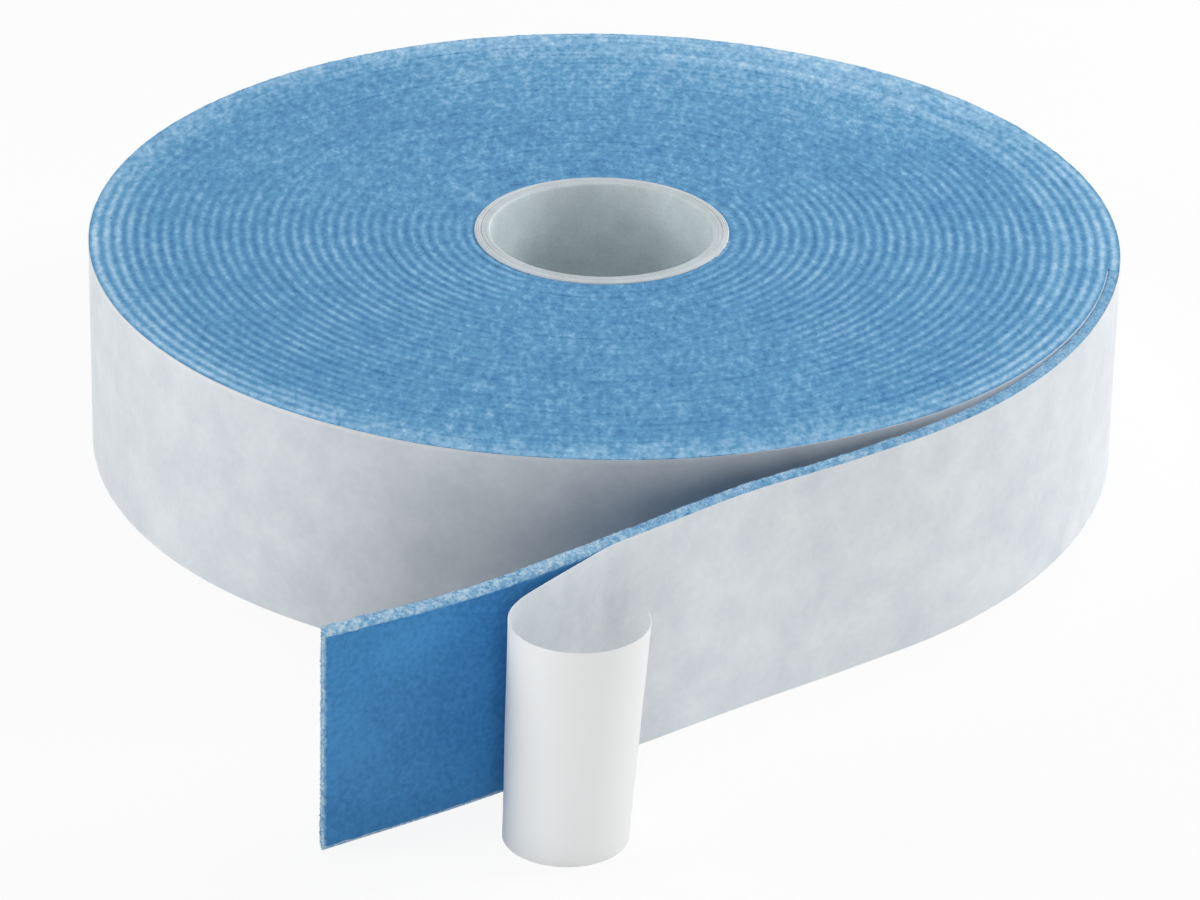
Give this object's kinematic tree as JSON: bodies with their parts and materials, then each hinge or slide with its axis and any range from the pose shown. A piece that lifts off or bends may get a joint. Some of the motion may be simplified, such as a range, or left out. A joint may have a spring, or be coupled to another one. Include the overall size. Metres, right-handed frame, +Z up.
{
  "type": "foam strip roll",
  "caption": "Roll of soft blue self-adhesive foam strip wound on a board core, lying flat, with a loose tail and its paper liner peeled back from the adhesive.",
  "frame": {"origin": "on the axis of the roll, at the underside of the roll and the end of the core's bore", "axes": "+Z up along the core's bore; the tail leaves the roll on the +X, -Y side and runs towards -X, -Y"},
  "size_m": [0.2336, 0.3158, 0.05],
  "materials": {
    "core_board": "grey board, matte",
    "core_wrap": "white paper plies, matte",
    "start_tape": "double-sided tape, dull",
    "foam": "soft open-cell foam with a fuzzy cut edge",
    "adhesive": "tacky film over foam, slight sheen",
    "liner": "silicone release paper, faintly mottled"
  },
  "bodies": {
    "roll": {"core_board": "core_board", "core_wrap": "core_wrap", "start_tape": "start_tape", "wound_foam": "foam", "wound_adhesive": "adhesive", "wound_liner": "liner"},
    "tail": {"tail_foam": "foam", "tail_adhesive": "adhesive", "tail_liner": "liner"},
    "tail_end": {"end_foam": "foam", "end_adhesive": "adhesive", "end_liner": "liner"},
    "liner_flap": {"peeled_liner": "liner"}
  },
  "joints": [
    {"name": "tail_lift", "type": "hinge", "parent": "roll", "child": "tail", "pos_m": [0.11634, -0.01635, 0], "axis": [0, 0, 1], "range_deg": [0, 60], "stiffness_Nm_per_rad": 0.001},
    {"name": "tail_bend", "type": "hinge", "parent": "tail", "child": "tail_end", "pos_m": [0.06651, -0.10354, 0], "axis": [0, 0, 1], "range_deg": [-8, 60], "stiffness_Nm_per_rad": 0.001},
    {"name": "liner_peel", "type": "hinge", "parent": "tail_end", "child": "liner_flap", "pos_m": [0.00221, -0.1528, 0], "axis": [0, 0, 1], "range_deg": [-8, 75], "stiffness_Nm_per_rad": 0.0004}
  ]
}
